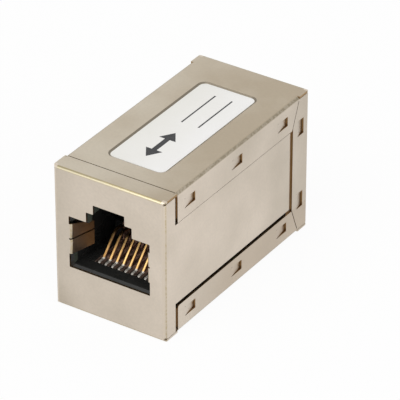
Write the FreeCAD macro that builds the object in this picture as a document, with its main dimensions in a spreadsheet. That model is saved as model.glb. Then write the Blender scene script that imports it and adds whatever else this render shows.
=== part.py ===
"""Shielded RJ45 inline coupler: two eight-way jacks back to back in a folded, nickel-plated brass shield.

Frame: origin at the centre of the bottom face, +X across the coupler, +Y along it from the front jack to the
rear jack, +Z up. All sizes are in millimetres.
"""
import FreeCAD, Part
import math
import os
import re

import Sketcher

# Driving sizes. Depths run inwards from the face that a jack opens in.
SIZES = {
    # outside of the shield
    "width": 17.0,
    "height": 20.8,
    "length": 34.0,
    "sheet": 0.3,
    "bend_radius": 0.55,
    "edge_bend_radius": 0.42,
    "clearance": 0.03,
    # front flanges, bands and the seams between the two shells
    "band_depth": 2.36,
    "flange_depth": 2.8,
    "flap_start": 2.92,
    "flange_seam": 0.06,
    "joggle": 0.3,
    "corner_relief_radius": 0.16,
    "corner_relief_inset": 0.15,
    # side panel and flaps
    "panel_bottom": 4.6,
    "panel_drop": 4.42,
    "panel_seam": 0.05,
    "panel_slit": 0.6,
    "finger_setback": 0.5,
    "rear_flap_length": 3.94,
    "rear_slot": 0.72,
    "mitre_slope": 0.4,
    "mitre_foot": 2.36,
    "mitre_gap": 0.12,
    "top_flap_corner_radius": 0.15,
    "bottom_flap_corner_radius": 0.4,
    # lock tongues lanced out of the flaps
    "tongue_length": 2.4,
    "tongue_clearance": 0.06,
    "side_tongue_first": 4.5,
    "side_tongue_end_margin": 0.64,
    "side_tongue_height": 1.4,
    "top_tongue_drop": 3.0,
    "bottom_tongue_bottom": 1.6,
    "rear_tongue_inset": 1.14,
    "rear_tongue_width": 1.45,
    "rear_tongue_height": 2.35,
    "rear_tongue_low": 3.65,
    "rear_tongue_drop": 5.95,
    # stepped opening of the shield
    "opening_width": 12.4,
    "opening_bottom": 6.3,
    "opening_height": 7.63,
    "latch_width": 7.0,
    "latch_height": 1.48,
    "keyway_width": 4.8,
    "keyway_height": 1.39,
    "opening_corner_radius": 0.12,
    # grounding springs folded in from the sides of the opening
    "spring_bottom": 8.3,
    "spring_height": 4.45,
    "spring_slit": 0.2,
    "spring_bulge": 0.35,
    "spring_reach": 3.75,
    "spring_lean": 0.95,
    "spring_taper": 1.1,
    # label and its recess in the top panel
    "recess_end_margin": 5.7,
    "recess_width": 9.0,
    "recess_depth": 0.22,
    "recess_slope": 0.25,
    "recess_corner_radius": 1.2,
    "label_margin": 0.05,
    "label_thickness": 0.08,
    # jack housing
    "housing_side_gap": 0.05,
    "cavity_width": 11.9,
    "cavity_bottom": 6.6,
    "cavity_height": 6.85,
    "cavity_back_room": 3.57,
    "latch_depth": 8.6,
    "front_wall": 1.1,
    "latch_room_width": 8.8,
    "lead_in": 0.3,
    "lead_in_depth": 0.3,
    "spring_pocket_gap": 0.2,
    "spring_pocket_depth": 4.85,
    # contact carrier
    "carrier_width": 10.4,
    "carrier_start": 2.4,
    "carrier_floor": 4.6,
    "carrier_block_bottom": 2.6,
    "carrier_block_top": 11.5,
    "carrier_block_length": 1.4,
    "groove_width": 0.62,
    "comb_start": 8.9,
    "comb_top": 9.1,
    # contacts
    "contact_pitch": 1.016,
    "contact_width": 0.45,
    "contact_thickness": 0.28,
    "contact_run": 5.45,
    "contact_sink": 0.1,
    "contact_fold_depth": 2.75,
    "contact_fold_radius": 0.4,
    "contact_rise_length": 0.95,
    "contact_rise_radius": 0.25,
    "contact_arch_depth": 6.8,
    "contact_arch_height": 9.57,
    "contact_arch_radius": 1.2,
    "contact_end_depth": 9.85,
    "contact_end_height": 8.45,
    "contact_row_drop": 2.0,
    "contact_joggle_gap": 0.4,
    "contact_joggle_length": 1.2,
    "contact_bend_radius": 0.35,
    "contact_tail": 0.8,
    "tail_room": 0.12,
    # circuit board between the jacks
    "board_thickness": 1.6,
}
CONTACTS = 8

# Names for lengths that follow from the driving sizes. Each may use the names above it.
DERIVED = {
    "half_width": "width / 2",
    "half_length": "length / 2",
    "side_inner": "half_width - sheet",
    "finger_inner": "half_width - 2 * sheet - clearance",
    "finger_outer": "side_inner - clearance",
    "band_top": "height - sheet - flange_seam",
    "band_bottom": "sheet + flange_seam",
    "finger_top": "height - bend_radius - clearance",
    "finger_bottom": "bend_radius + clearance",
    "finger_end": "length - bend_radius - clearance",
    "panel_top": "height - panel_drop",
    "bottom_flap_top": "panel_bottom - panel_slit",
    "top_flap_bottom": "panel_top + panel_seam",
    "rear_flap_start": "length - rear_flap_length",
    "panel_end": "rear_flap_start - rear_slot",
    "mitre_end": "length - mitre_foot",
    "tongue_span": "panel_end - side_tongue_end_margin - tongue_length - side_tongue_first",
    "top_tongue_bottom": "height - top_tongue_drop",
    "rear_tongue_start": "rear_flap_start + rear_tongue_inset",
    "rear_tongue_high": "height - rear_tongue_drop",
    "half_opening": "opening_width / 2",
    "opening_top": "opening_bottom + opening_height",
    "latch_top": "opening_top + latch_height",
    "keyway_top": "latch_top + keyway_height",
    "half_cavity": "cavity_width / 2",
    "cavity_top": "cavity_bottom + cavity_height",
    "housing_start": "sheet + clearance",
    "housing_end": "half_length - board_thickness / 2 - clearance",
    "housing_half_width": "finger_inner - housing_side_gap",
    "cavity_depth": "housing_end - cavity_back_room",
    "block_end": "cavity_depth + carrier_block_length",
    "contact_joggle_depth": "block_end + contact_joggle_gap",
    "contact_floor": "cavity_bottom - contact_sink - contact_thickness / 2",
    "contact_rise_depth": "contact_fold_depth + contact_rise_length",
    "half_carrier": "carrier_width / 2",
    "carrier_pocket": "half_carrier + clearance",
    "contact_clearance_width": "contact_width + 2 * clearance",
    "contact_clearance_thickness": "contact_thickness + 2 * clearance",
    "board_half_width": "housing_half_width",
    "recess_length": "length - 2 * recess_end_margin",
}

FRONT = "-1"
REAR = "1"


def formula(text):
    """Spell a formula of size names out in cells of the sheet."""
    def spell(match):
        word = match.group(0)
        if word in DERIVED:
            return "(" + formula(DERIVED[word]) + ")"
        if word in SIZES:
            return "sizes." + word
        raise NameError(word)
    return re.sub(r"[a-z_]+", spell, str(text))


def value(text):
    """Number that a formula gives with the sizes now in the sheet."""
    return float(sheet.evalExpression(formula(text).replace("sizes.", "")))


doc = FreeCAD.newDocument("rj45_inline_coupler")
sheet = doc.addObject("Spreadsheet::Sheet", "sizes")
for row, (alias, number) in enumerate(SIZES.items(), start=1):
    sheet.set(f"A{row}", alias)
    sheet.set(f"B{row}", str(number))
    sheet.setAlias(f"B{row}", alias)
doc.recompute()


# Sketches

def new_body(name):
    body = doc.addObject("PartDesign::Body", name)
    body.Label = name
    return body


def new_sketch(body, name, plane, offset):
    """Sketch on one of the body's own origin planes, moved along the plane's normal by a formula."""
    sketch = body.newObject("Sketcher::SketchObject", name)
    support = [item for item in body.Origin.OriginFeatures if item.Role == plane + "_Plane"][0]
    sketch.AttachmentSupport = [(support, "")]
    sketch.MapMode = "FlatFace"
    sketch.setExpression(".AttachmentOffset.Base.z", formula(offset))
    return sketch


def fix_point(sketch, item, end, across, up):
    for kind, text in (("DistanceX", across), ("DistanceY", up)):
        index = sketch.addConstraint(Sketcher.Constraint(kind, item, end, value(text)))
        sketch.setExpression(f"Constraints[{index}]", formula(text))


def rounded_corner(before, corner, after, radius):
    """Tangent points, centre and sense of an arc that rounds a corner."""
    back = (before - corner).normalize()
    ahead = (after - corner).normalize()
    half_angle = back.getAngle(ahead) / 2
    reach = radius / math.tan(half_angle)
    middle = (back + ahead).normalize()
    centre = corner + middle * (radius / math.sin(half_angle))
    turns_left = (corner - before).cross(after - corner).z > 0
    return corner + back * reach, corner + ahead * reach, centre, turns_left


def draw(sketch, corners, closed=True):
    """Straight edges through corners (across, up), with a tangent arc at each corner (across, up, radius)."""
    count = len(corners)
    points = [FreeCAD.Vector(value(corner[0]), value(corner[1]), 0) for corner in corners]
    arrive = list(points)
    leave = list(points)
    arcs = {}
    for number, corner in enumerate(corners):
        if len(corner) == 3:
            radius = value(corner[2])
            rounding = rounded_corner(points[number - 1], points[number], points[(number + 1) % count], radius)
            arrive[number], leave[number], centre, turns_left = rounding
            arcs[number] = (centre, turns_left, radius)
    lines = {}
    for number in range(count if closed else count - 1):
        segment = Part.LineSegment(leave[number], arrive[(number + 1) % count])
        lines[number] = sketch.addGeometry(segment, False)
    for number, corner in enumerate(corners):
        line_in = lines.get((number - 1) % count)
        line_out = lines.get(number)
        if number in arcs:
            round_corner(sketch, corner, points[number], arrive[number], leave[number], arcs[number],
                         line_in, line_out)
        elif line_in is None:
            fix_point(sketch, line_out, 1, corner[0], corner[1])
        elif line_out is None:
            fix_point(sketch, line_in, 2, corner[0], corner[1])
        else:
            sketch.addConstraint(Sketcher.Constraint("Coincident", line_in, 2, line_out, 1))
            fix_point(sketch, line_in, 2, corner[0], corner[1])


def round_corner(sketch, corner, point, arrive, leave, arc, line_in, line_out):
    """Arc tangent to two edges, which both run through the corner's own construction point."""
    centre, turns_left, radius = arc
    first, last = (arrive, leave) if turns_left else (leave, arrive)
    start_angle = math.atan2(first.y - centre.y, first.x - centre.x)
    end_angle = math.atan2(last.y - centre.y, last.x - centre.x)
    circle = Part.Circle(centre, FreeCAD.Vector(0, 0, 1), radius)
    arc_item = sketch.addGeometry(Part.ArcOfCircle(circle, start_angle, end_angle), False)
    point_item = sketch.addGeometry(Part.Point(point), True)
    in_end, out_end = (1, 2) if turns_left else (2, 1)
    sketch.addConstraint([
        Sketcher.Constraint("PointOnObject", point_item, 1, line_in),
        Sketcher.Constraint("PointOnObject", point_item, 1, line_out),
        Sketcher.Constraint("Tangent", line_in, 2, arc_item, in_end),
        Sketcher.Constraint("Tangent", arc_item, out_end, line_out, 1),
    ])
    fix_point(sketch, point_item, 1, corner[0], corner[1])
    index = sketch.addConstraint(Sketcher.Constraint("Radius", arc_item, radius))
    sketch.setExpression(f"Constraints[{index}]", formula(corner[2]))


def draw_circle(sketch, across, up, radius):
    circle = Part.Circle(FreeCAD.Vector(value(across), value(up), 0), FreeCAD.Vector(0, 0, 1), value(radius))
    item = sketch.addGeometry(circle, False)
    fix_point(sketch, item, 3, across, up)
    index = sketch.addConstraint(Sketcher.Constraint("Radius", item, value(radius)))
    sketch.setExpression(f"Constraints[{index}]", formula(radius))


def rectangle(left, right, bottom, top, radius=None):
    corners = [(left, bottom), (right, bottom), (right, top), (left, top)]
    if radius:
        corners = [corner + (radius,) for corner in corners]
    return corners


# Features

def extrude(body, kind, name, plane, outlines, start, end):
    """Pad or Pocket from start to end along the normal. An outline is a list of corners, or a circle's tuple."""
    # The XZ plane faces -Y, so offsets along its normal change sign.
    sign = "-1" if plane == "XZ" else "1"
    adds = kind == "Pad"
    sketch_at = start if adds == (plane != "XZ") else end
    sketch = new_sketch(body, name + "_sketch", plane, f"{sign} * ({sketch_at})")
    for outline in outlines:
        if isinstance(outline, tuple):
            draw_circle(sketch, *outline)
        else:
            draw(sketch, outline)
    feature = body.newObject("PartDesign::" + kind, name)
    feature.Profile = sketch
    feature.setExpression("Length", formula(f"({end}) - ({start})"))
    return feature


def pad(body, name, plane, outline, start, end):
    return extrude(body, "Pad", name, plane, [outline], start, end)


def pocket(body, name, plane, outlines, start, end):
    return extrude(body, "Pocket", name, plane, outlines, start, end)


def lofted_cut(body, name, plane, mouth, mouth_offset, throat, throat_offset):
    """Cut that narrows from its mouth to its throat."""
    sections = []
    for part, outline, offset in (("mouth", mouth, mouth_offset), ("throat", throat, throat_offset)):
        sketch = new_sketch(body, f"{name}_{part}", plane, offset)
        draw(sketch, outline)
        sections.append(sketch)
    loft = body.newObject("PartDesign::SubtractiveLoft", name)
    loft.Profile = sections[0]
    loft.Sections = sections[1:]
    return loft


def mirror_half(body):
    """Complete a body drawn on the +X side only with its mirror image."""
    doc.recompute()
    mirrored = body.newObject("PartDesign::Mirrored", "both_halves")
    mirrored.TransformMode = "Whole shape"
    support = [item for item in body.Origin.OriginFeatures if item.Role == "YZ_Plane"][0]
    mirrored.MirrorPlane = (support, [""])
    body.Tip = mirrored


def depth(text, end=FRONT):
    """Place along Y of a depth behind one of the two faces."""
    return f"{end} * (half_length - ({text}))"


def depths(start, stop, end=FRONT):
    """The same for two depths, in rising order along Y."""
    if end == FRONT:
        return depth(start, end), depth(stop, end)
    return depth(stop, end), depth(start, end)


# Shield

def channel_outline(reach, end):
    """Side section of a face with a flange bent inwards from its top edge and one from its bottom edge."""
    return [
        (depth(reach, end), "height"),
        (depth("0", end), "height", "edge_bend_radius"),
        (depth("0", end), "0", "edge_bend_radius"),
        (depth(reach, end), "0"),
        (depth(reach, end), "sheet"),
        (depth("sheet", end), "sheet", "edge_bend_radius - sheet"),
        (depth("sheet", end), "height - sheet", "edge_bend_radius - sheet"),
        (depth(reach, end), "height - sheet"),
    ]


def end_opening(body, end):
    """Right half of the stepped opening for the plug, its latch and the key of the latch."""
    outline = [
        ("0", "opening_bottom"),
        ("half_opening", "opening_bottom", "opening_corner_radius"),
        ("half_opening", "opening_top", "opening_corner_radius"),
        ("latch_width / 2", "opening_top", "opening_corner_radius"),
        ("latch_width / 2", "latch_top", "opening_corner_radius"),
        ("keyway_width / 2", "latch_top", "opening_corner_radius"),
        ("keyway_width / 2", "keyway_top", "opening_corner_radius"),
        ("0", "keyway_top"),
    ]
    start, stop = depths("0", "sheet", end)
    pocket(body, "opening", "XZ", [outline], start, stop)


def grounding_springs(body, end):
    """Two-fingered spring folded in from the side of the opening, leaning towards the plug."""
    root = "half_opening - spring_bulge"
    tip = f"{root} - spring_lean"
    back_root = f"{root} + sheet - spring_lean * sheet / spring_reach"
    outline = [
        ("half_opening + sheet", depth("0", end)),
        (root, depth("0", end), "spring_bulge"),
        (tip, depth("spring_reach", end)),
        (f"{tip} + sheet", depth("spring_reach", end)),
        (back_root, depth("sheet", end), "spring_bulge - sheet"),
        ("half_opening + sheet", depth("sheet", end)),
    ]
    top = "spring_bottom + spring_height"
    pad(body, "spring", "XY", outline, "spring_bottom", top)
    middle = "spring_bottom + spring_height / 2"
    start, stop = depths("-sheet", "spring_reach + sheet", end)
    slit_outline = rectangle(start, stop, f"{middle} - spring_slit / 2", f"{middle} + spring_slit / 2")
    taper_outline = [
        (depth("spring_bulge", end), top),
        (depth("spring_reach + sheet", end), f"{top} - spring_taper"),
        (depth("spring_reach + sheet", end), f"{top} + sheet"),
        (depth("spring_bulge", end), f"{top} + sheet"),
    ]
    pocket(body, "spring_slit", "YZ", [slit_outline, taper_outline], f"{tip} - sheet", "half_opening")


def flange_corners(body, end):
    """Round the end flanges' corners like the bends beside them, with a relief hole where each bend ends."""
    leg = "(bend_radius + clearance)"
    corner = [
        ("half_width", depth(leg, end)),
        ("half_width", depth("0", end), "bend_radius"),
        (f"half_width - {leg}", depth("0", end)),
        (f"half_width - {leg}", depth("-sheet", end)),
        ("half_width + sheet", depth("-sheet", end)),
        ("half_width + sheet", depth(leg, end)),
    ]
    pocket(body, "top_corner", "XY", [corner], "band_top", "height")
    pocket(body, "bottom_corner", "XY", [corner], "0", "band_bottom")
    reliefs = [("half_width - corner_relief_inset", edge, "corner_relief_radius")
               for edge in ("band_top", "band_bottom")]
    start, stop = depths("-sheet", "bend_radius", end)
    pocket(body, "corner_relief", "XZ", reliefs, start, stop)


def tongue_windows(margin):
    """Side views of the lock windows: three in the top flap, three in the bottom flap, two in the rear flap."""
    windows = []
    for number in range(3):
        start = f"side_tongue_first + {number} / 2 * tongue_span"
        for bottom in ("top_tongue_bottom", "bottom_tongue_bottom"):
            windows.append((start, f"{start} + tongue_length", bottom, f"{bottom} + side_tongue_height"))
    for bottom in ("rear_tongue_low", "rear_tongue_high"):
        start = "rear_tongue_start"
        windows.append((start, f"{start} + rear_tongue_width", bottom, f"{bottom} + rear_tongue_height"))
    return [rectangle(depth(f"{start} - {margin}"), depth(f"{stop} + {margin}"),
                      f"{bottom} - {margin}", f"{top} + {margin}")
            for start, stop, bottom, top in windows]


def front_shell():
    """Front face with short flanges, side panels, and fingers set one sheet lower for the rear shell's flaps."""
    body = new_body("front_shell")
    pad(body, "flanges", "YZ", channel_outline("flange_depth", FRONT), "0", "half_width")
    strip = rectangle("half_width - bend_radius", "half_width + sheet", "band_bottom", "band_top")
    pocket(body, "bend_room", "XZ", [strip], depth("-sheet"), depth("bend_radius"))
    band = [
        ("half_width - bend_radius - sheet", depth("0")),
        ("half_width", depth("0"), "bend_radius"),
        ("half_width", depth("band_depth")),
        ("side_inner", depth("band_depth")),
        ("side_inner", depth("sheet"), "bend_radius - sheet"),
        ("half_width - bend_radius - sheet", depth("sheet")),
    ]
    pad(body, "band", "XY", band, "band_bottom", "band_top")
    panel_outline = rectangle(depth("band_depth - joggle"), depth("panel_end"), "panel_bottom", "panel_top")
    pad(body, "panel", "YZ", panel_outline, "side_inner", "half_width")
    start = depth("band_depth - joggle")
    inside = depth("panel_end - joggle")
    stop = depth("finger_end")
    low = "bottom_flap_top - finger_setback"
    high = "top_flap_bottom + finger_setback"
    fingers_outline = [
        (start, "finger_bottom"), (stop, "finger_bottom"), (stop, "finger_top"), (start, "finger_top"),
        (start, high), (inside, high), (inside, low), (start, low),
    ]
    pad(body, "fingers", "YZ", fingers_outline, "finger_inner", "side_inner")
    relief = [rectangle(depth("band_depth"), stop, "0", "panel_bottom - joggle"),
              rectangle(depth("band_depth"), stop, "panel_top + joggle", "height")]
    pocket(body, "finger_relief", "YZ", relief, "finger_outer", "side_inner")
    pocket(body, "tongue_windows", "YZ", tongue_windows("tongue_clearance"), "finger_inner", "side_inner")
    flange_corners(body, FRONT)
    end_opening(body, FRONT)
    grounding_springs(body, FRONT)
    mirror_half(body)
    return body


def quarter_bend(across, up, turn_across, turn_up):
    """Section of a square bend: an outer corner and the two ways that its legs run."""
    leg = "(bend_radius + clearance)"
    return [
        (f"{across} + {turn_across} * {leg}", up),
        (across, up, "bend_radius"),
        (across, f"{up} + {turn_up} * {leg}"),
        (f"{across} + {turn_across} * sheet", f"{up} + {turn_up} * {leg}"),
        (f"{across} + {turn_across} * sheet", f"{up} + {turn_up} * sheet", "bend_radius - sheet"),
        (f"{across} + {turn_across} * {leg}", f"{up} + {turn_up} * sheet"),
    ]


def mitre_depth(rise, side):
    """Depth of a mitred edge at a height above the bottom (or below the top), on one side of its gap."""
    return f"mitre_end - mitre_slope * ({rise}) + {side} * mitre_gap / 2"


def flap_outlines():
    """Side views of the top, bottom and rear flaps, which meet along two mitres."""
    top = [
        (depth("flap_start"), "height - bend_radius"),
        (depth("flap_start"), "top_flap_bottom", "top_flap_corner_radius"),
        (depth(mitre_depth("height - top_flap_bottom", -1)), "top_flap_bottom"),
        (depth(mitre_depth("bend_radius", -1)), "height - bend_radius"),
    ]
    bottom = [
        (depth("flap_start"), "bend_radius"),
        (depth(mitre_depth("bend_radius", -1)), "bend_radius"),
        (depth(mitre_depth("bottom_flap_top", -1)), "bottom_flap_top"),
        (depth("flap_start"), "bottom_flap_top", "bottom_flap_corner_radius"),
    ]
    foot_rise = "(mitre_end + mitre_gap / 2 - rear_flap_start) / mitre_slope"
    rear = [
        (depth("length - bend_radius"), "band_bottom"),
        (depth("length - bend_radius"), "band_top"),
        (depth(mitre_depth("height - band_top", 1)), "band_top"),
        (depth("rear_flap_start"), f"height - {foot_rise}"),
        (depth("rear_flap_start"), foot_rise),
        (depth(mitre_depth("band_bottom", 1)), "band_bottom"),
    ]
    return top, bottom, rear


def lock_tongues(body):
    """Tongues still joined to the flaps at the front of each window, bent one sheet inwards at their free end."""
    rows = {}
    for outline in tongue_windows("0"):
        rows.setdefault((outline[0][1], outline[2][1]), []).append((outline[0][0], outline[1][0]))
    for (low, high), spans in rows.items():
        profiles = [[
            ("half_width", f"{start} - sheet / 3"),
            ("half_width", start),
            ("half_width - sheet", f"{stop} - tongue_clearance"),
            ("half_width - 2 * sheet", f"{stop} - tongue_clearance"),
            ("half_width - sheet", start),
            ("half_width - sheet", f"{start} - sheet / 3"),
        ] for start, stop in spans]
        extrude(body, "Pad", "tongues", "XY", profiles, f"{low} + tongue_clearance", f"{high} - tongue_clearance")


def recess_outline(inset):
    """Right half of the label recess, drawn in from its rim by an inset."""
    across = f"recess_width / 2 - {inset}"
    along = f"(recess_length / 2 - {inset})"
    radius = f"recess_corner_radius - {inset}"
    return [("0", f"-{along}"), (across, f"-{along}", radius), (across, along, radius), ("0", along)]


def rear_shell():
    """Top, rear face and bottom in one strip, with side flaps bent over the front shell's fingers."""
    body = new_body("rear_shell")
    pad(body, "strip", "YZ", channel_outline("length - flap_start", REAR), "0", "half_width")
    edge = ("half_width - bend_radius", "half_width + sheet")
    mitre_start = depth(mitre_depth("0", -1))
    side_edges = [rectangle(*edge, "height - bend_radius", "height + sheet"),
                  rectangle(*edge, "-sheet", "bend_radius")]
    pocket(body, "side_bend_room", "XZ", side_edges, depth("0"), mitre_start)
    rear_edge = [rectangle(*edge, "band_bottom", "band_top")]
    pocket(body, "rear_bend_room", "XZ", rear_edge, depth("length - bend_radius"), depth("length + sheet"))
    side_bends = [quarter_bend("half_width", "height", -1, -1), quarter_bend("half_width", "0", -1, 1)]
    extrude(body, "Pad", "side_bends", "XZ", side_bends, depth("flap_start"), mitre_start)
    pad(body, "rear_bend", "XY", quarter_bend("half_width", "half_length", -1, -1), "band_bottom", "band_top")
    extrude(body, "Pad", "flaps", "YZ", flap_outlines(), "side_inner", "half_width")
    pocket(body, "tongue_windows", "YZ", tongue_windows("0"), "side_inner", "half_width")
    lock_tongues(body)
    flange_corners(body, REAR)
    end_opening(body, REAR)
    grounding_springs(body, REAR)
    pad(body, "recess_back", "XY", recess_outline("0"), "height - sheet - recess_depth", "height - sheet")
    lofted_cut(body, "recess", "XY", recess_outline("0"), "height",
               recess_outline("recess_slope"), "height - recess_depth")
    mirror_half(body)
    return body


def label():
    """Blank paper label in the recess of the top panel."""
    body = new_body("label")
    inset = "(recess_slope + label_margin)"
    half_across = f"(recess_width / 2 - {inset})"
    half_along = f"(recess_length / 2 - {inset})"
    outline = rectangle(f"-{half_across}", half_across, f"-{half_along}", half_along,
                        f"recess_corner_radius - {inset}")
    bottom = "height - recess_depth"
    pad(body, "paper", "XY", outline, bottom, f"{bottom} + label_thickness")
    return body


# Jacks. Both are drawn as the front jack, and the rear one is turned half a turn about Z.

def place_jack_part(body, end):
    if end == "rear":
        body.Placement = FreeCAD.Placement(FreeCAD.Vector(), FreeCAD.Rotation(FreeCAD.Vector(0, 0, 1), 180))
    return body


def jack_housing(end):
    """Moulded block that fills its half of the shield, with the plug's stepped cavity and the carrier's room."""
    body = new_body(end + "_jack_housing")
    low = "sheet + clearance"
    high = "height - sheet - recess_depth - clearance"
    block = [
        (depth("housing_start + edge_bend_radius"), low),
        (depth("housing_end"), low),
        (depth("housing_end"), high),
        (depth("housing_start + edge_bend_radius"), high),
        (depth("housing_start"), f"{high} - edge_bend_radius"),
        (depth("housing_start"), f"{low} + edge_bend_radius"),
    ]
    pad(body, "block", "YZ", block, "-housing_half_width", "housing_half_width")
    cavity = rectangle("-half_cavity", "half_cavity", "cavity_bottom", "cavity_top")
    pocket(body, "cavity", "XZ", [cavity], depth("housing_start"), depth("cavity_depth"))
    mouth = rectangle("-half_cavity - lead_in", "half_cavity + lead_in",
                      "cavity_bottom - lead_in", "cavity_top + lead_in")
    lofted_cut(body, "lead_in", "XZ", mouth, f"-({depth('housing_start')})",
               cavity, f"-({depth('housing_start + lead_in_depth')})")
    latch = [
        ("-latch_width / 2", "cavity_top - lead_in"),
        ("latch_width / 2", "cavity_top - lead_in"),
        ("latch_width / 2", "latch_top"),
        ("keyway_width / 2", "latch_top"),
        ("keyway_width / 2", "keyway_top"),
        ("-keyway_width / 2", "keyway_top"),
        ("-keyway_width / 2", "latch_top"),
        ("-latch_width / 2", "latch_top"),
    ]
    pocket(body, "latch_slot", "XZ", [latch], depth("housing_start"), depth("latch_depth"))
    latch_room = rectangle("-latch_room_width / 2", "latch_room_width / 2", "cavity_top - lead_in", "keyway_top")
    pocket(body, "latch_room", "XZ", [latch_room], depth("housing_start + front_wall"), depth("latch_depth"))
    spring_half_width = "half_opening - spring_bulge + sheet + 2 * spring_pocket_gap"
    spring_pocket = rectangle(f"-({spring_half_width})", spring_half_width,
                              "spring_bottom - spring_pocket_gap",
                              "spring_bottom + spring_height + spring_pocket_gap")
    pocket(body, "spring_pocket", "XZ", [spring_pocket], depth("housing_start"), depth("spring_pocket_depth"))
    floor_room = rectangle(depth("carrier_start - clearance"), depth("housing_end"),
                           "carrier_floor - clearance", "cavity_bottom")
    pocket(body, "floor_room", "YZ", [floor_room], "-carrier_pocket", "carrier_pocket")
    block_room = rectangle(depth("cavity_depth"), depth("housing_end"),
                           "carrier_block_bottom - clearance", "carrier_block_top + clearance")
    pocket(body, "block_room", "YZ", [block_room], "-carrier_pocket", "carrier_pocket")
    return place_jack_part(body, end)


def contact_place(number):
    """Place across the jack of a contact, counted from 0."""
    return f"({number} - {(CONTACTS - 1) / 2}) * contact_pitch"


def contact_carrier(end):
    """Grooved insert in the jack's floor, with a comb that guides the free ends and a block that holds the runs."""
    body = new_body(end + "_contact_carrier")
    section = [
        (depth("carrier_start"), "carrier_floor"),
        (depth("cavity_depth + clearance"), "carrier_floor"),
        (depth("cavity_depth + clearance"), "carrier_block_bottom"),
        (depth("block_end"), "carrier_block_bottom"),
        (depth("block_end"), "carrier_block_top"),
        (depth("cavity_depth + clearance"), "carrier_block_top"),
        (depth("cavity_depth + clearance"), "comb_top"),
        (depth("comb_start"), "comb_top"),
        (depth("comb_start"), "cavity_bottom"),
        (depth("carrier_start"), "cavity_bottom"),
    ]
    pad(body, "insert", "YZ", section, "-half_carrier", "half_carrier")
    low = "contact_run - contact_thickness / 2"
    grooves = []
    slots = []
    channels = []
    for number in range(CONTACTS):
        place = contact_place(number)
        groove_sides = (f"{place} - groove_width / 2", f"{place} + groove_width / 2")
        channel_sides = (f"{place} - contact_clearance_width / 2", f"{place} + contact_clearance_width / 2")
        grooves.append(rectangle(*groove_sides, "contact_floor - contact_thickness / 2", "comb_top + clearance"))
        slots.append(rectangle(*groove_sides, low, "cavity_bottom"))
        channels.append(rectangle(*channel_sides, low, "contact_run + contact_thickness / 2 + clearance"))
    pocket(body, "grooves", "XZ", grooves, depth("carrier_start"), depth("cavity_depth + clearance"))
    slot_end = depth("contact_fold_depth + contact_fold_radius + clearance")
    pocket(body, "fold_slots", "XZ", slots, depth("carrier_start"), slot_end)
    pocket(body, "channels", "XZ", channels, slot_end, depth("block_end"))
    return place_jack_part(body, end)


def contact(end, number):
    """Flat spring contact: tail in the board, run under the floor, fold at the mouth, rise and arched free end."""
    body = new_body(f"{end}_contact_{number + 1}")
    place = contact_place(number)
    tail_end = "half_length + board_thickness / 2 + contact_tail"
    drops = number % 2 == 1
    row = "contact_run - contact_row_drop" if drops else "contact_run"
    corners = [(depth(tail_end), row)]
    if drops:
        corners += [
            (depth("contact_joggle_depth + contact_joggle_length"), row, "contact_bend_radius"),
            (depth("contact_joggle_depth"), "contact_run", "contact_bend_radius"),
        ]
    corners += [
        (depth("contact_fold_depth"), "contact_run", "contact_fold_radius"),
        (depth("contact_fold_depth"), "contact_floor", "contact_fold_radius"),
        (depth("contact_rise_depth"), "contact_floor", "contact_rise_radius"),
        (depth("contact_arch_depth"), "contact_arch_height", "contact_arch_radius"),
        (depth("contact_end_depth"), "contact_end_height"),
    ]
    path = new_sketch(body, "path", "YZ", place)
    draw(path, corners, closed=False)
    section = new_sketch(body, "section", "XZ", f"-({depth(tail_end)})")
    draw(section, rectangle(f"{place} - contact_width / 2", f"{place} + contact_width / 2",
                            f"{row} - contact_thickness / 2", f"{row} + contact_thickness / 2"))
    strip = body.newObject("PartDesign::AdditivePipe", "strip")
    strip.Profile = section
    strip.Spine = (path, [""])
    return place_jack_part(body, end)


def circuit_board():
    """Board that stands across the middle of the shield and joins the contacts of both jacks."""
    body = new_body("circuit_board")
    margin = "sheet + 2 * clearance"
    outline = rectangle("-board_half_width", "board_half_width", margin,
                        "height - sheet - recess_depth - clearance")
    start = "-board_thickness / 2"
    stop = "board_thickness / 2"
    pad(body, "board", "XZ", outline, start, stop)
    width = "contact_width + 2 * tail_room"
    thickness = "contact_thickness + 2 * tail_room"
    slots = []
    for number in range(CONTACTS):
        place = contact_place(number)
        for row in ("contact_run", "contact_run - contact_row_drop"):
            slots.append(rectangle(f"{place} - ({width}) / 2", f"{place} + ({width}) / 2",
                                   f"{row} - ({thickness}) / 2", f"{row} + ({thickness}) / 2"))
    pocket(body, "tail_slots", "XZ", slots, start, stop)
    return body


def build_all():
    bodies = [front_shell(), rear_shell(), label(), circuit_board()]
    for end in ("front", "rear"):
        bodies += [jack_housing(end), contact_carrier(end)]
        bodies += [contact(end, number) for number in range(CONTACTS)]
    return bodies


def check(bodies):
    """Stop before any file is written if an object failed or a piece isn't a sound solid."""
    failed = [item.Name for item in doc.Objects if "Invalid" in item.State or "Error" in item.State]
    failed += [body.Label for body in bodies if body.Shape.isNull() or not body.Shape.isValid()]
    if failed:
        raise RuntimeError("failed: " + ", ".join(failed))


bodies = build_all()
doc.recompute()
check(bodies)
os.makedirs("parts", exist_ok=True)
for body in bodies:
    body.Shape.exportStep("parts/" + body.Label + ".step")
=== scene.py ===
"""Looks of the shielded inline coupler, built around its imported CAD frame. Blender 4.5, lengths in metres."""
import math

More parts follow.
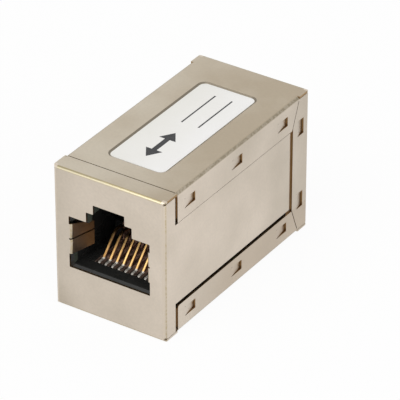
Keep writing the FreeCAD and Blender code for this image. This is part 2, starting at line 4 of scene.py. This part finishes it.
import bpy
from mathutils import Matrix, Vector


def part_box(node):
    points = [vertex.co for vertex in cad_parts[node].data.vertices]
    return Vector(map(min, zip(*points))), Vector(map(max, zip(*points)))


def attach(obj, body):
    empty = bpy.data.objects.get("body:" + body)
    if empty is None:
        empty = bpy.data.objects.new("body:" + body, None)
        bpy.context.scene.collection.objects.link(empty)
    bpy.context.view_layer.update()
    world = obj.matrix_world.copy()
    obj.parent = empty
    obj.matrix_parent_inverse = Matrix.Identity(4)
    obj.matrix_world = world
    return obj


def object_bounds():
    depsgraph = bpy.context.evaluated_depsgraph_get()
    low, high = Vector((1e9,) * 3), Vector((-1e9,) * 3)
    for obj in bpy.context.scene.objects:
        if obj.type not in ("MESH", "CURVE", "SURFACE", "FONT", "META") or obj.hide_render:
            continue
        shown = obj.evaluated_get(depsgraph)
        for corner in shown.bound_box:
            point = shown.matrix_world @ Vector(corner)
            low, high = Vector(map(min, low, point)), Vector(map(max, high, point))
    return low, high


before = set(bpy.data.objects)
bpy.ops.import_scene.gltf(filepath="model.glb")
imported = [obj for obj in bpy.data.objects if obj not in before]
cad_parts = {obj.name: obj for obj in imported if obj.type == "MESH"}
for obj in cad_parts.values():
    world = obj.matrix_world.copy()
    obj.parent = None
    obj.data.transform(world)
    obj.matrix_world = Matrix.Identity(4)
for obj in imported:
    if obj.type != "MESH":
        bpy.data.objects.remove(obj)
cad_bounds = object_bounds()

MM = 0.001

# Places and sizes of the CAD part

low, high = (Vector(corner) for corner in cad_bounds)
CENTRE = (low + high) / 2
SHEET = 0.3 * MM
LABEL_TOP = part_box("label")[1][2]
CONTACT_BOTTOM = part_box("front_contact_1")[0][2]
CONTACT_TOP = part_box("front_contact_1")[1][2]
CONTACT_PITCH = 1.016 * MM
CONTACT_ROW_HALF = max(abs(corner[0]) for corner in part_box("front_contact_1"))
CONTACTS_PER_END = 8

# Parts of the shield that have a tone of their own or painted light and shade, measured from its outer faces
BEND_BAND = 0.6 * MM
FACE_BORDER = 1.0 * MM
# Size of the painted shade in the lower corner at the -X end
SHADED_CORNER_WIDTH = 5.0 * MM
SHADED_CORNER_HEIGHT = 4.5 * MM
FLAP_HEIGHT = 4.1 * MM
FLAP_TONE_START = 6.0 * MM
FLAP_TONE_FULL = 15.0 * MM
FOOT_HEIGHT = 4.0 * MM
RECESS_SIDE_MARGIN = 1.5 * MM
RECESS_END_MARGIN = 2.0 * MM
RECESS_RIM = 0.005 * MM
SPRING_INSET = 2.2 * MM
SPRING_BOTTOM = 6.0 * MM
SPRING_TOP = 15.0 * MM
SPRING_ROOT = 0.32 * MM

# Half of the width over which the label yellows
PAPER_TONE_HALF = 4.0 * MM

# Parts of the jacks and contacts that get a tone of their own or painted light, shade and reflection
MOUTH_DEPTH = 1.45 * MM
WARM_SIDE_MARGIN = 0.25 * MM
WARM_TOP_MARGIN = 0.1 * MM
WARM_FADE_START = 3.4 * MM
WARM_FADE_END = 4.6 * MM
LINE_HALF = 0.07 * MM
FLANK_START = 0.13 * MM
FOLD_START = 1.24 * MM
FOLD_END = 1.40 * MM

# A face counts as facing an axis where its normal's share of that axis is over the first,
# and as turned away from it where the share is under the second.
FACING = 0.9
TURNED_AWAY = 0.3


def rgb(red, green, blue):
    return (red, green, blue, 1.0)


WHITE = rgb(1.0, 1.0, 1.0)
# Lit and shaded copies of the nickel, for the painted light and shade of the upright faces, their lower corner and
# the top
NICKEL_PAINTED_LIT = rgb(0.69, 0.605, 0.51)
NICKEL_PAINTED_SHADE = rgb(0.55, 0.485, 0.40)
NICKEL_PAINTED_CORNER_SHADE = rgb(0.40, 0.34, 0.26)
TOP_PAINTED_LIT = rgb(0.56, 0.50, 0.405)
TOP_PAINTED_SHADE = rgb(0.445, 0.375, 0.28)
FLAP_YELLOWED = rgb(0.50, 0.415, 0.32)
# Bend colours: a painted highlight, the brass of thin plating, a painted dark band, and a darker speckled line
BEND_PAINTED_HIGHLIGHT = rgb(0.82, 0.74, 0.52)
BEND_BRASS = rgb(0.47, 0.385, 0.24)
BEND_PAINTED_DARK_BAND = rgb(0.30, 0.255, 0.14)
BEND_SPECKLED_DARK = rgb(0.27, 0.23, 0.165)
RECESS_SHADE = rgb(0.22, 0.19, 0.145)
# Painted shade on the grounding springs, brown from the contacts they reflect
SPRING_PAINTED_SHADE = rgb(0.40, 0.30, 0.22)
CUT_BRASS = rgb(0.36, 0.23, 0.11)
PAPER_WHITE = rgb(0.91, 0.90, 0.885)
PAPER_YELLOWED = rgb(0.83, 0.815, 0.765)
INK_FULL = rgb(0.022, 0.022, 0.024)
INK_THIN = rgb(0.05, 0.05, 0.052)
PLASTIC_BLACK = rgb(0.019, 0.019, 0.018)
PLASTIC_PALER = rgb(0.0285, 0.0285, 0.027)
# Painted light on the side walls near the mouth
MOUTH_PAINTED_LIGHT = rgb(0.075, 0.085, 0.068)
# Painted reflection of the gold contacts on the carrier
CONTACT_PAINTED_REFLECTION = rgb(0.62, 0.37, 0.27)
GOLD_BRIGHT = rgb(0.80, 0.53, 0.21)
GOLD_DULL = rgb(0.66, 0.41, 0.15)
# Painted shade on the flanks of the contacts
FLANK_PAINTED_SHADE = rgb(0.27, 0.145, 0.065)
FOLD_SILVER = rgb(0.66, 0.63, 0.57)
BOARD_DARK = rgb(0.012, 0.06, 0.024)
BOARD_GREEN = rgb(0.018, 0.08, 0.032)
FLOOR_GREY = rgb(0.90, 0.90, 0.90)
FLOOR_PALE = rgb(0.93, 0.93, 0.93)


# Node helpers

class Graph:
    """Short names for building one material's node tree."""

    def __init__(self, name):
        self.material = bpy.data.materials.new(name)
        self.material.use_nodes = True
        self.tree = self.material.node_tree
        self.shader = self.tree.nodes["Principled BSDF"]
        self.position = self.tree.nodes.new("ShaderNodeTexCoord").outputs["Object"]

    def add(self, kind, **settings):
        node = self.tree.nodes.new(kind)
        for key, setting in settings.items():
            setattr(node, key, setting)
        return node

    def feed(self, socket, source):
        if isinstance(source, (int, float, tuple)):
            socket.default_value = source
        else:
            self.tree.links.new(source, socket)

    def math(self, operation, first, second=0.0, clamp=False):
        node = self.add("ShaderNodeMath", operation=operation, use_clamp=clamp)
        self.feed(node.inputs[0], first)
        self.feed(node.inputs[1], second)
        return node.outputs[0]

    def size(self, source):
        """A value without its sign."""
        return self.math("ABSOLUTE", source)

    def over(self, source, limit):
        """1 where a value is over a limit, and 0 elsewhere."""
        return self.math("GREATER_THAN", source, limit)

    def under(self, source, limit):
        """1 where a value is under a limit, and 0 elsewhere."""
        return self.math("LESS_THAN", source, limit)

    def between(self, source, lowest, highest):
        """1 where a value lies between two limits, and 0 elsewhere."""
        return self.both(self.over(source, lowest), self.under(source, highest))

    def both(self, *masks):
        """Product of masks: 1 where all of them are 1."""
        product = masks[0]
        for mask in masks[1:]:
            product = self.math("MULTIPLY", product, mask)
        return product

    def total(self, *values, clamp=False):
        """Sum of values, each number or socket."""
        result = values[0]
        for value in values[1:-1]:
            result = self.math("ADD", result, value)
        return self.math("ADD", result, values[-1], clamp=clamp)

    def noise(self, scale, detail=2.0, stretch=(1.0, 1.0, 1.0)):
        """Noise with a grain of 1 / scale metres, longer along an axis with a smaller stretch."""
        mapping = self.add("ShaderNodeMapping")
        mapping.inputs["Scale"].default_value = stretch
        self.feed(mapping.inputs["Vector"], self.position)
        node = self.add("ShaderNodeTexNoise")
        self.feed(node.inputs["Vector"], mapping.outputs[0])
        node.inputs["Scale"].default_value = scale
        node.inputs["Detail"].default_value = detail
        return node.outputs["Fac"]

    def remap(self, source, start, stop, first, last):
        """From first to last while the source goes from start to stop, and level beyond them."""
        node = self.add("ShaderNodeMapRange")
        self.feed(node.inputs["Value"], source)
        node.inputs["From Min"].default_value = start
        node.inputs["From Max"].default_value = stop
        node.inputs["To Min"].default_value = first
        node.inputs["To Max"].default_value = last
        return node.outputs["Result"]

    def spread(self, noise, first, last, half=0.15):
        """A noise spread from first to last over the middle of its values."""
        return self.remap(noise, 0.5 - half, 0.5 + half, first, last)

    def mix(self, factor, first, second):
        node = self.add("ShaderNodeMix", data_type="RGBA")
        self.feed(node.inputs["Factor"], factor)
        self.feed(node.inputs["A"], first)
        self.feed(node.inputs["B"], second)
        return node.outputs["Result"]

    def axes(self, vector):
        node = self.add("ShaderNodeSeparateXYZ")
        self.feed(node.inputs[0], vector)
        return node.outputs["X"], node.outputs["Y"], node.outputs["Z"]

    def normal_axes(self):
        """Size of the true normal along each axis, from 0 to 1."""
        geometry = self.add("ShaderNodeNewGeometry")
        return [self.size(axis) for axis in self.axes(geometry.outputs["True Normal"])]

    def bump(self, height, strength, distance):
        node = self.add("ShaderNodeBump")
        node.inputs["Strength"].default_value = strength
        node.inputs["Distance"].default_value = distance
        self.feed(node.inputs["Height"], height)
        self.feed(self.shader.inputs["Normal"], node.outputs[0])

    def set(self, **sockets):
        for name, source in sockets.items():
            self.feed(self.shader.inputs[name.replace("_", " ")], source)


# Plated sheet

class Place:
    """Where a point of the shield lies, how far it is from the middle planes, and which way it faces."""

    def __init__(self, graph):
        self.x, self.y, self.z = graph.axes(graph.position)
        self.wide = graph.size(self.x)
        self.far = graph.size(self.y)
        self.across, self.along, self.up = graph.normal_axes()


def cut_edges(graph, at):
    """1 on the sheared edges of the sheet, where the brass under the plating shows."""
    skin = 1.02 * SHEET
    side = graph.both(graph.over(at.wide, high.x - skin), graph.under(at.across, 0.6),
                      graph.between(at.z, low.z + BEND_BAND, high.z - BEND_BAND),
                      graph.between(at.y, low.y + FACE_BORDER, high.y - BEND_BAND))
    flange = graph.both(graph.over(at.z, high.z - skin), graph.under(at.up, TURNED_AWAY),
                        graph.between(at.y, low.y + BEND_BAND, high.y - BEND_BAND))
    opening = graph.both(graph.over(at.far, high.y - skin), graph.under(at.along, TURNED_AWAY),
                         graph.under(at.wide, high.x - FACE_BORDER),
                         graph.between(at.z, low.z + FACE_BORDER, high.z - FACE_BORDER))
    return graph.math("MAXIMUM", graph.math("MAXIMUM", side, flange), opening)


def face_tones(graph, at, clouds):
    """Flat faces, with painted light and shade: the upright faces lighter towards the front, +X and the top, in
    painted shade towards the rear, -X and the bottom, and darkest at the lower -X corner; the top faces a darker copy
    in painted shade, deeper towards +X and the rear; random patches over all; and one flap yellowed.
    """
    patches = graph.spread(graph.noise(45.0, detail=1.0), -0.15, 0.15)
    patchy = graph.total(graph.spread(clouds, -0.3, 0.3, half=0.2), patches)

    # Painted shade: upright faces darker towards -X, towards the rear and near the bottom, over random patches
    upright_shade_and_patches = graph.total(graph.remap(at.x, low.x, high.x, 0.85, 0.0), graph.remap(at.y, low.y, high.y, 0.0, 0.85),
                         graph.remap(at.z, low.z, low.z + FOOT_HEIGHT, 0.25, 0.0), patchy, clamp=True)
    upright = graph.mix(upright_shade_and_patches, NICKEL_PAINTED_LIT, NICKEL_PAINTED_SHADE)
    # Painted shade in the lower corner at the -X end of the upright faces
    painted_corner_shade = graph.both(graph.remap(at.x, low.x, low.x + SHADED_CORNER_WIDTH, 0.6, 0.0),
                        graph.remap(at.z, low.z, low.z + SHADED_CORNER_HEIGHT, 1.0, 0.0))
    upright = graph.mix(painted_corner_shade, upright, NICKEL_PAINTED_CORNER_SHADE)

    # Painted shade on the top faces: a darker copy of the nickel, deeper towards +X and the rear, over random patches
    top_shade_and_patches = graph.total(graph.remap(at.x, low.x, high.x, 0.0, 0.85), graph.remap(at.y, low.y, high.y, 0.0, 0.35),
                          patchy, clamp=True)
    level = graph.mix(top_shade_and_patches, TOP_PAINTED_LIT, TOP_PAINTED_SHADE)
    plate = graph.mix(graph.over(at.up, FACING), upright, level)

    flap = graph.both(graph.over(at.across, FACING), graph.under(at.z, low.z + FLAP_HEIGHT),
                      graph.remap(at.y, low.y + FLAP_TONE_START, low.y + FLAP_TONE_FULL, 0.0, 0.7))
    return graph.mix(flap, plate, FLAP_YELLOWED)


def bend_tones(graph, at, plate, fine):
    """Bends: a darker speckled line along the lengthwise bends, brassy at both ends, a painted highlight beside a
    painted dark band along the top bends of the ends, and a painted highlight on their upright bends.
    """
    # Darker speckled line along the lengthwise bends
    slanted = graph.remap(graph.math("MINIMUM", at.across, at.up), 0.25, 0.5, 0.0, 1.0)
    speckled_dark = graph.both(graph.under(at.along, TURNED_AWAY), slanted, graph.remap(fine, 0.40, 0.56, 0.7, 1.0))
    plate = graph.mix(speckled_dark, plate, BEND_SPECKLED_DARK)

    at_end = graph.over(at.far, high.y - BEND_BAND)
    level_turn = graph.math("MINIMUM", at.along, at.up)
    upright_turn = graph.math("MINIMUM", at.along, at.across)
    turn = graph.math("MAXIMUM", level_turn, upright_turn)
    brassy = graph.both(at_end, graph.remap(turn, 0.12, 0.3, 0.0, 1.0), graph.remap(fine, 0.40, 0.58, 0.35, 0.9))
    plate = graph.mix(brassy, plate, BEND_BRASS)

    # Painted highlight beside a painted dark band along the top bends of the ends
    at_top = graph.both(at_end, graph.over(at.z, high.z - BEND_BAND))
    lean = graph.math("SUBTRACT", at.along, at.up)
    painted_dark_band = graph.both(at_top, graph.remap(level_turn, 0.15, 0.3, 0.0, 0.75), graph.remap(lean, -0.1, 0.1, 1.0, 0.0))
    plate = graph.mix(painted_dark_band, plate, BEND_PAINTED_DARK_BAND)
    pale = graph.both(at_top, graph.remap(level_turn, 0.25, 0.45, 0.0, 0.85), graph.remap(lean, -0.1, 0.1, 0.0, 1.0))
    plate = graph.mix(pale, plate, BEND_PAINTED_HIGHLIGHT)

    # Painted highlight on the upright bends of the ends
    bright = graph.both(at_end, graph.over(at.wide, high.x - BEND_BAND), graph.under(at.along, 0.98),
                        graph.remap(graph.math("SUBTRACT", at.along, at.across), -0.35, -0.1, 0.0, 0.8))
    return graph.mix(bright, plate, NICKEL_PAINTED_LIT)


def hollow_tones(graph, at, plate):
    """Painted shade on the walls of the label's recess and on the grounding springs, where little light gets in; on
    the springs it is brown, a painted reflection of the contacts.
    """
    recess = graph.both(graph.under(at.up, 0.95), graph.under(at.wide, high.x - RECESS_SIDE_MARGIN),
                        graph.between(at.z, high.z - SHEET, high.z - RECESS_RIM),
                        graph.under(at.far, high.y - RECESS_END_MARGIN))
    plate = graph.mix(recess, plate, RECESS_SHADE)
    # Painted shade on the grounding springs, brown as a painted reflection of the contacts
    spring = graph.both(graph.under(at.wide, high.x - SPRING_INSET), graph.under(at.far, high.y - SPRING_ROOT),
                        graph.between(at.z, low.z + SPRING_BOTTOM, low.z + SPRING_TOP))
    return graph.mix(spring, plate, SPRING_PAINTED_SHADE)


def nickel_material():
    """Satin nickel plate over brass sheet, with the tones of its faces, bends, hollows and sheared edges."""
    graph = Graph("satin_nickel")
    at = Place(graph)
    clouds = graph.noise(130.0, detail=3.0)
    fine = graph.noise(2600.0, detail=3.0)
    grain = graph.noise(2200.0, stretch=(1.0, 0.06, 1.0))

    plate = face_tones(graph, at, clouds)
    plate = bend_tones(graph, at, plate, fine)
    plate = hollow_tones(graph, at, plate)
    speckled = graph.add("ShaderNodeVectorMath", operation="SCALE")
    graph.feed(speckled.inputs[0], plate)
    graph.feed(speckled.inputs["Scale"], graph.spread(fine, 0.97, 1.03))
    graph.set(Base_Color=graph.mix(cut_edges(graph, at), speckled.outputs[0], CUT_BRASS),
              Roughness=graph.remap(graph.total(clouds, fine), 0.7, 1.3, 0.34, 0.46), Metallic=1.0)
    graph.bump(graph.total(graph.math("MULTIPLY", fine, 0.5), grain), 0.07, 0.02 * MM)
    return graph.material


# Other materials

def paper_material():
    """White label stock: fine fibres, and yellowed to one side in soft patches."""
    graph = Graph("label_paper")
    fibres = graph.noise(3500.0, detail=4.0, stretch=(1.0, 0.4, 1.0))
    patches = graph.noise(220.0)
    across = graph.axes(graph.position)[0]
    yellowed = graph.total(graph.remap(across, -PAPER_TONE_HALF, PAPER_TONE_HALF, 0.9, 0.1),
                           graph.spread(patches, -0.1, 0.1), clamp=True)
    graph.set(Base_Color=graph.mix(yellowed, PAPER_WHITE, PAPER_YELLOWED),
              Roughness=graph.spread(fibres, 0.42, 0.58, half=0.2))
    graph.bump(fibres, 0.15, 0.01 * MM)
    return graph.material


def plastic_material(name, rough, shine, reflection_colour=None):
    """Moulded plastic, with painted light on the side walls of the mouth and a warm painted reflection of the
    contacts on the carrier between them.
    """
    graph = Graph(name)
    texture = graph.noise(4200.0, detail=3.0)
    patches = graph.noise(400.0)
    x, y, z = graph.axes(graph.position)
    from_middle = graph.size(y)
    plastic = graph.mix(graph.spread(patches, 0.0, 1.0), PLASTIC_BLACK, PLASTIC_PALER)
    # Painted light: side walls near the mouth lighter, where light from outside reaches them
    mouth = graph.both(graph.over(graph.normal_axes()[0], 0.95), graph.over(from_middle, high.y - MOUTH_DEPTH))
    plastic = graph.mix(mouth, plastic, MOUTH_PAINTED_LIGHT)
    # Painted reflection: warm brown on the carrier between and below the contacts, where the gold shines on it
    if reflection_colour:
        sparkle = graph.noise(2300.0, detail=1.0)
        among = graph.both(graph.under(graph.size(x), CONTACT_ROW_HALF + WARM_SIDE_MARGIN),
                           graph.under(z, CONTACT_TOP + WARM_TOP_MARGIN),
                           graph.remap(from_middle, high.y - WARM_FADE_END, high.y - WARM_FADE_START, 1.0, 0.2),
                           graph.spread(sparkle, 0.3, 1.0, half=0.12))
        plastic = graph.mix(among, plastic, reflection_colour)
    graph.set(Base_Color=plastic, Roughness=graph.spread(patches, rough - 0.04, rough + 0.06, half=0.2),
              Specular_IOR_Level=shine)
    graph.bump(texture, 0.2, 0.01 * MM)
    return graph.material


def gold_material():
    """Gold flash over nickel: gold along the middle of each contact, its flanks in brown painted shade for the dark
    cavity a rounded wire would reflect there, and bare nickel at the fold.
    """
    graph = Graph("contact_gold")
    x, _, height = graph.axes(graph.position)
    drawn = graph.noise(5200.0, stretch=(1.0, 0.1, 0.1))
    patches = graph.noise(900.0)
    gold = graph.mix(graph.spread(patches, 0.0, 1.0), GOLD_BRIGHT, GOLD_DULL)
    place = graph.math("FRACT", graph.math("DIVIDE", x, CONTACT_PITCH))
    off_line = graph.size(graph.math("SUBTRACT", place, 0.5))
    # Painted shade: flanks of each contact darkened to brown, as if reflecting the dark cavity
    flank = graph.remap(off_line, LINE_HALF / CONTACT_PITCH, FLANK_START / CONTACT_PITCH, 0.0, 0.95)
    gold = graph.mix(flank, gold, FLANK_PAINTED_SHADE)
    fold = graph.remap(height, CONTACT_BOTTOM + FOLD_START, CONTACT_BOTTOM + FOLD_END, 1.0, 0.0)
    graph.set(Base_Color=graph.mix(fold, gold, FOLD_SILVER),
              Metallic=graph.remap(fold, 0.0, 1.0, 1.0, 0.4),
              Roughness=graph.total(graph.spread(drawn, 0.24, 0.36, half=0.2), graph.math("MULTIPLY", fold, 0.15)))
    graph.bump(drawn, 0.1, 0.006 * MM)
    return graph.material


def ink_material():
    """Matt black print, slightly uneven where it is thin."""
    graph = Graph("label_ink")
    thin = graph.noise(2400.0)
    graph.set(Base_Color=graph.mix(graph.remap(thin, 0.4, 0.7, 0.0, 1.0), INK_FULL, INK_THIN),
              Roughness=graph.spread(thin, 0.55, 0.7, half=0.2))
    return graph.material


def board_material():
    """Green solder mask over glass laminate, with the weave just showing."""
    graph = Graph("solder_mask")
    weave = graph.noise(1500.0, detail=1.0, stretch=(1.0, 0.2, 1.0))
    patches = graph.noise(300.0)
    graph.set(Base_Color=graph.mix(graph.spread(patches, 0.0, 1.0), BOARD_DARK, BOARD_GREEN),
              Roughness=graph.spread(weave, 0.3, 0.42, half=0.2))
    graph.bump(weave, 0.1, 0.01 * MM)
    return graph.material


# Dressing of the CAD nodes

WELD_REACH = 0.0005 * MM
SHARP_ANGLE = math.radians(35)


def dress(name, material, bevel=None, segments=2):
    """Give a CAD node its material and soften its edges."""
    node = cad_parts[name]
    node.data.materials.clear()
    node.data.materials.append(material)
    if bevel:
        weld = node.modifiers.new("weld", "WELD")
        weld.merge_threshold = WELD_REACH
        edge = node.modifiers.new("edge", "BEVEL")
        edge.width = bevel
        edge.segments = segments
        edge.limit_method = "ANGLE"
        edge.angle_limit = SHARP_ANGLE
        edge.harden_normals = True


nickel = nickel_material()
dress("front_shell", nickel, 0.035 * MM)
dress("rear_shell", nickel, 0.035 * MM)
dress("label", paper_material(), 0.02 * MM)
housing_black = plastic_material("housing_black", rough=0.26, shine=0.22)
carrier_black = plastic_material("carrier_black", rough=0.24, shine=0.4, reflection_colour=CONTACT_PAINTED_REFLECTION)
dress("circuit_board", board_material())
gold = gold_material()
for end in ("front", "rear"):
    dress(f"{end}_jack_housing", housing_black, 0.05 * MM)
    dress(f"{end}_contact_carrier", carrier_black, 0.03 * MM)
    for number in range(1, CONTACTS_PER_END + 1):
        dress(f"{end}_contact_{number}", gold, 0.13 * MM, segments=3)


# Print on the label: a plain two-headed arrow and two lines to write on, with their outlines in millimetres

INK_THICKNESS = 0.006 * MM
ARROW_START, ARROW_STOP = -8.6, -1.8
ARROW_SHAFT = 0.75
HEAD_WIDTH, HEAD_LENGTH = 2.5, 1.9
LINE_START, LINE_STOP = 0.9, 8.9
LINE_WIDTH = 0.22
LINES_ACROSS = (-0.9, 1.7)


def arrow_outline():
    """Corners of a two-headed arrow along Y, about X = 0."""
    neck = ARROW_START + HEAD_LENGTH
    near = [(-ARROW_SHAFT / 2, neck), (-HEAD_WIDTH / 2, neck), (0.0, ARROW_START),
            (HEAD_WIDTH / 2, neck), (ARROW_SHAFT / 2, neck)]
    far = [(across, ARROW_START + ARROW_STOP - along) for across, along in reversed(near)]
    return near + far


def line_outline(across):
    """Corners of a line along Y, about X = across."""
    left, right = across - LINE_WIDTH / 2, across + LINE_WIDTH / 2
    return [(left, LINE_START), (right, LINE_START), (right, LINE_STOP), (left, LINE_STOP)]


def add_print(name, outlines, material):
    """Flat ink shapes that lie on the label. Each outline goes round anticlockwise, seen from above."""
    points, faces = [], []
    for outline in outlines:
        bottom = range(len(points), len(points) + len(outline))
        top = range(bottom.stop, bottom.stop + len(outline))
        for height in (LABEL_TOP, LABEL_TOP + INK_THICKNESS):
            points += [(x * MM, y * MM, height) for x, y in outline]
        following = (*range(1, len(outline)), 0)
        faces += [bottom[::-1], top]
        faces += [(bottom[here], bottom[beyond], top[beyond], top[here]) for here, beyond in enumerate(following)]
    mesh = bpy.data.meshes.new(name)
    mesh.from_pydata(points, [], faces)
    mesh.materials.append(material)
    piece = bpy.data.objects.new(name, mesh)
    bpy.context.scene.collection.objects.link(piece)
    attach(piece, "root")


add_print("label_print", [arrow_outline()] + [line_outline(across) for across in LINES_ACROSS], ink_material())


# Stage

FLOOR_SIZE = 4.0
FLOOR_DROP = 0.02 * MM  # keeps the floor off the coupler's bottom face
FLOOR_WHITENESS = 0.93
ROOM_LEVEL = 0.68


def seen_rays(tree):
    """1 for the rays that the camera sees, directly, in reflections or through glass."""
    path = tree.nodes.new("ShaderNodeLightPath")
    seen = path.outputs["Is Camera Ray"]
    for ray in ("Is Glossy Ray", "Is Transmission Ray"):
        either = tree.nodes.new("ShaderNodeMath")
        either.operation = "MAXIMUM"
        tree.links.new(seen, either.inputs[0])
        tree.links.new(path.outputs[ray], either.inputs[1])
        seen = either.outputs[0]
    return seen


def floor_material():
    """White floor: nearly full white to the camera, so that it keeps part of its shading."""
    graph = Graph("white_floor")
    graph.set(Base_Color=graph.mix(graph.noise(60.0, detail=3.0), FLOOR_GREY, FLOOR_PALE), Roughness=0.9)
    light = graph.add("ShaderNodeEmission")
    light.inputs["Color"].default_value = WHITE
    light.inputs["Strength"].default_value = 1.0
    blend = graph.add("ShaderNodeMixShader")
    graph.feed(blend.inputs[0], graph.math("MULTIPLY", seen_rays(graph.tree), FLOOR_WHITENESS))
    graph.feed(blend.inputs[1], graph.shader.outputs[0])
    graph.feed(blend.inputs[2], light.outputs[0])
    graph.feed(graph.tree.nodes["Material Output"].inputs["Surface"], blend.outputs[0])
    return graph.material


def add_floor():
    bpy.ops.mesh.primitive_plane_add(size=FLOOR_SIZE, location=(0.0, 0.0, low.z - FLOOR_DROP))
    plane = bpy.context.object
    plane.name = "floor"
    plane.data.materials.append(floor_material())


def world_light():
    """Even pale room: white where the camera sees it, and a plain level everywhere else."""
    world = bpy.data.worlds.new("studio")
    bpy.context.scene.world = world
    world.use_nodes = True
    tree = world.node_tree
    background = tree.nodes["Background"]
    background.inputs["Color"].default_value = WHITE
    strength = tree.nodes.new("ShaderNodeMapRange")
    strength.inputs["To Min"].default_value = ROOM_LEVEL
    strength.inputs["To Max"].default_value = 1.0
    tree.links.new(seen_rays(tree), strength.inputs["Value"])
    tree.links.new(strength.outputs["Result"], background.inputs["Strength"])


def softbox(name, place, size, power):
    """Square area lamp that faces the coupler, placed from its centre."""
    data = bpy.data.lights.new(name, "AREA")
    data.shape = "SQUARE"
    data.size = size
    data.energy = power
    lamp = bpy.data.objects.new(name, data)
    bpy.context.scene.collection.objects.link(lamp)
    lamp.location = CENTRE + Vector(place)
    lamp.rotation_euler = (-Vector(place)).to_track_quat("-Z", "Y").to_euler()


add_floor()
world_light()
softbox("key_light", place=(-0.10, -0.50, 0.60), size=0.6, power=1.9)
softbox("side_light", place=(0.60, -0.20, 0.30), size=0.5, power=0.9)


# Camera: the viewing angle, and a point just beside the coupler's centre that it looks at

AZIMUTH = math.radians(33.403)
ELEVATION = math.radians(31.892)
DISTANCE = 442.2 * MM
AIM = CENTRE + Vector((1.97, 0.88, -0.56)) * MM
SENSOR = 36.0
FOCAL_RATIO = 8.5055

camera_data = bpy.data.cameras.new("camera")
camera_data.sensor_width = SENSOR
camera_data.lens = FOCAL_RATIO * SENSOR
camera_data.clip_start = 0.01
camera = bpy.data.objects.new("camera", camera_data)
bpy.context.scene.collection.objects.link(camera)
away = Vector((math.sin(AZIMUTH) * math.cos(ELEVATION), -math.cos(AZIMUTH) * math.cos(ELEVATION),
               math.sin(ELEVATION)))
camera.location = AIM + away * DISTANCE
camera.rotation_euler = (-away).to_track_quat("-Z", "Y").to_euler()
bpy.context.scene.camera = camera
bpy.context.scene.view_settings.view_transform = "Standard"
